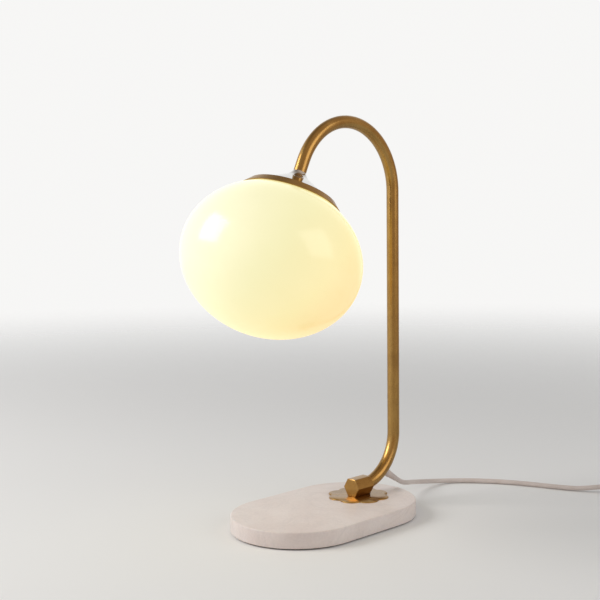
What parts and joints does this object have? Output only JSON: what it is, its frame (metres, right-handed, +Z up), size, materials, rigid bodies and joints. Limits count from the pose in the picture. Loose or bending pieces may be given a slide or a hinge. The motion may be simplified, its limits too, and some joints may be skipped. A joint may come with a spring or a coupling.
{
  "type": "table lamp",
  "caption": "Table lamp: tilted opal glass globe under a bright cone, hung from an arched brass tube on a thick stadium-shaped marble foot, with flex, switch and plug.",
  "frame": {"origin": "centre of the flat face it rests on, under the middle of the marble foot", "axes": "+Z up; X along the foot, with the stem over the +X end and the globe hanging out towards -X; Y across the foot"},
  "size_m": [0.4895, 0.4018, 0.4058],
  "materials": {
    "pad_foam": "matt closed-cell foam",
    "marble": "honed pale marble with faint warm veins",
    "satin_brass": "satin brushed and lacquered",
    "bright_nickel": "mirror polished",
    "zinc_steel": "zinc plated",
    "spring_steel": "blued spring strip",
    "opal_glass": "opal white, fire polished, lit from inside",
    "gasket_rubber": "soft silicone",
    "black_holder": "moulded thermoset",
    "white_ceramic": "unglazed steatite",
    "contact_brass": "bright pressed strip",
    "bulb_metal": "nickel plated",
    "bulb_white": "moulded white",
    "bulb_diffuser": "frosted",
    "flex_white": "moulded off-white",
    "core_sleeve": "thin insulation",
    "tie_strap": "woven hook-and-loop strap"
  },
  "bodies": {
    "lamp": {"base_pad": "pad_foam", "marble_base": "marble", "base_bolt": "zinc_steel", "bolt_washer": "zinc_steel", "foot_plate": "satin_brass", "foot_block": "satin_brass", "arm_tube": "satin_brass", "cord_bush": "flex_white", "arm_cores": "core_sleeve", "arm_nipple": "zinc_steel", "plate_nut": "zinc_steel", "shade_cone": "bright_nickel", "gallery_ring": "satin_brass", "gallery_plate": "zinc_steel", "shade_gasket": "gasket_rubber", "glass_clips": "spring_steel", "holder_cap": "black_holder", "holder_skirt": "black_holder", "holder_insert": "white_ceramic", "contact_shell": "contact_brass", "centre_contact": "contact_brass", "terminal_screws": "contact_brass", "switch_base": "flex_white", "switch_cover": "flex_white", "rocker_pin": "zinc_steel", "switch_contacts": "contact_brass", "switch_screws": "zinc_steel", "switch_sleeves": "flex_white", "coil_tie": "tie_strap", "cord_lead": "flex_white", "cord_mid": "flex_white", "cord_coil": "flex_white", "cord_tail": "flex_white", "plug_body": "flex_white", "plug_pins": "bulb_metal", "pin_sleeves": "black_holder"},
    "globe": {"glass_globe": "opal_glass"},
    "bulb": {"bulb_cap": "bulb_metal", "bulb_tip": "black_holder", "bulb_housing": "bulb_white", "bulb_diffuser": "bulb_diffuser"},
    "rocker": {"switch_rocker": "flex_white"}
  },
  "joints": [
    {"name": "globe_release", "type": "slide", "parent": "lamp", "child": "globe", "axis": [-0.4289, 0, -0.9033], "range_m": [0, 0.105]},
    {"name": "bulb_release", "type": "slide", "parent": "lamp", "child": "bulb", "axis": [-0.4289, 0, -0.9033], "range_m": [0, 0.03]},
    {"name": "switch_rock", "type": "hinge", "parent": "lamp", "child": "rocker", "pos_m": [0.309, -0.205, 0.0126], "axis": [0.9304, 0.3665, 0], "range_deg": [-16, 0]}
  ]
}
